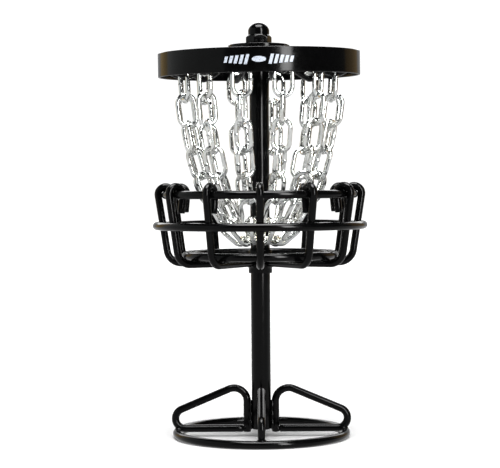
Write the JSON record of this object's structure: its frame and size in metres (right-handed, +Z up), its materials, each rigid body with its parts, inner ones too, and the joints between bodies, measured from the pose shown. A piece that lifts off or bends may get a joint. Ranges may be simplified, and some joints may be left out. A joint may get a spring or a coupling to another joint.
{
  "type": "disc golf basket",
  "caption": "Small desktop disc golf basket: wire basket with hooked ribs on a pole and ring base, sheet band on top, hanging chains gathered to a loose ring.",
  "frame": {"origin": "on the pole axis, on the ground plane under the base ring", "axes": "+Z up along the pole, -Y toward the front leg, +X to the right"},
  "size_m": [0.1052, 0.1052, 0.2032],
  "materials": {
    "black_coat": "gloss black powder coat over steel",
    "black_nut": "gloss black dome nut",
    "zinc_plate": "bright zinc plated steel wire"
  },
  "bodies": {
    "stand": {"base_ring": "black_coat", "leg_front": "black_coat", "leg_right": "black_coat", "leg_back": "black_coat", "leg_left": "black_coat", "pole": "black_coat", "basket_collar": "black_coat", "rib_01": "black_coat", "rib_02": "black_coat", "rib_03": "black_coat", "rib_04": "black_coat", "rib_05": "black_coat", "rib_06": "black_coat", "rib_07": "black_coat", "rib_08": "black_coat", "rib_09": "black_coat", "rib_10": "black_coat", "rib_11": "black_coat", "rib_12": "black_coat", "rim_ring": "black_coat", "guard_ring": "black_coat", "floor_ring": "black_coat", "top_spoke_01": "black_coat", "top_spoke_02": "black_coat", "top_spoke_03": "black_coat", "top_spoke_04": "black_coat", "top_spoke_05": "black_coat", "top_spoke_06": "black_coat", "top_spoke_07": "black_coat", "top_spoke_08": "black_coat", "top_spoke_09": "black_coat", "top_spoke_10": "black_coat", "top_spoke_11": "black_coat", "top_spoke_12": "black_coat", "top_disc": "black_coat", "band": "black_coat", "washer": "black_coat", "acorn_nut": "black_nut"},
    "chain_01": {"chain_01": "zinc_plate"},
    "chain_02": {"chain_02": "zinc_plate"},
    "chain_03": {"chain_03": "zinc_plate"},
    "chain_04": {"chain_04": "zinc_plate"},
    "chain_05": {"chain_05": "zinc_plate"},
    "chain_06": {"chain_06": "zinc_plate"},
    "chain_07": {"chain_07": "zinc_plate"},
    "chain_08": {"chain_08": "zinc_plate"},
    "chain_09": {"chain_09": "zinc_plate"},
    "chain_10": {"chain_10": "zinc_plate"},
    "chain_11": {"chain_11": "zinc_plate"},
    "chain_12": {"chain_12": "zinc_plate"},
    "chain_ring": {"chain_ring": "zinc_plate"}
  },
  "joints": [
    {"name": "chain_01_swing", "type": "hinge", "parent": "stand", "child": "chain_01", "pos_m": [0.00233, -0.0074, 0.09679], "axis": [0.1044, -0.3311, 0.9378], "range_deg": [-3, 8]},
    {"name": "chain_02_swing", "type": "hinge", "parent": "stand", "child": "chain_02", "pos_m": [0.00572, -0.00524, 0.09679], "axis": [0.256, -0.2345, 0.9378], "range_deg": [-3, 8]},
    {"name": "chain_03_swing", "type": "hinge", "parent": "stand", "child": "chain_03", "pos_m": [0.00757, -0.00168, 0.09679], "axis": [0.3389, -0.0751, 0.9378], "range_deg": [-3, 8]},
    {"name": "chain_04_swing", "type": "hinge", "parent": "stand", "child": "chain_04", "pos_m": [0.0074, 0.00233, 0.09679], "axis": [0.3311, 0.1044, 0.9378], "range_deg": [-3, 8]},
    {"name": "chain_05_swing", "type": "hinge", "parent": "stand", "child": "chain_05", "pos_m": [0.00524, 0.00572, 0.09679], "axis": [0.2345, 0.256, 0.9378], "range_deg": [-3, 8]},
    {"name": "chain_06_swing", "type": "hinge", "parent": "stand", "child": "chain_06", "pos_m": [0.00168, 0.00757, 0.09679], "axis": [0.0751, 0.3389, 0.9378], "range_deg": [-3, 8]},
    {"name": "chain_07_swing", "type": "hinge", "parent": "stand", "child": "chain_07", "pos_m": [-0.00233, 0.0074, 0.09679], "axis": [-0.1044, 0.3311, 0.9378], "range_deg": [-3, 8]},
    {"name": "chain_08_swing", "type": "hinge", "parent": "stand", "child": "chain_08", "pos_m": [-0.00572, 0.00524, 0.09679], "axis": [-0.256, 0.2345, 0.9378], "range_deg": [-3, 8]},
    {"name": "chain_09_swing", "type": "hinge", "parent": "stand", "child": "chain_09", "pos_m": [-0.00757, 0.00168, 0.09679], "axis": [-0.3389, 0.0751, 0.9378], "range_deg": [-3, 8]},
    {"name": "chain_10_swing", "type": "hinge", "parent": "stand", "child": "chain_10", "pos_m": [-0.0074, -0.00233, 0.09679], "axis": [-0.3311, -0.1044, 0.9378], "range_deg": [-3, 8]},
    {"name": "chain_11_swing", "type": "hinge", "parent": "stand", "child": "chain_11", "pos_m": [-0.00524, -0.00572, 0.09679], "axis": [-0.2345, -0.256, 0.9378], "range_deg": [-3, 8]},
    {"name": "chain_12_swing", "type": "hinge", "parent": "stand", "child": "chain_12", "pos_m": [-0.00168, -0.00757, 0.09679], "axis": [-0.0751, -0.3389, 0.9378], "range_deg": [-3, 8]},
    {"name": "chain_ring_turn", "type": "hinge", "parent": "stand", "child": "chain_ring", "pos_m": [0, 0, 0.09765], "axis": [0, 0, 1], "continuous": true}
  ]
}
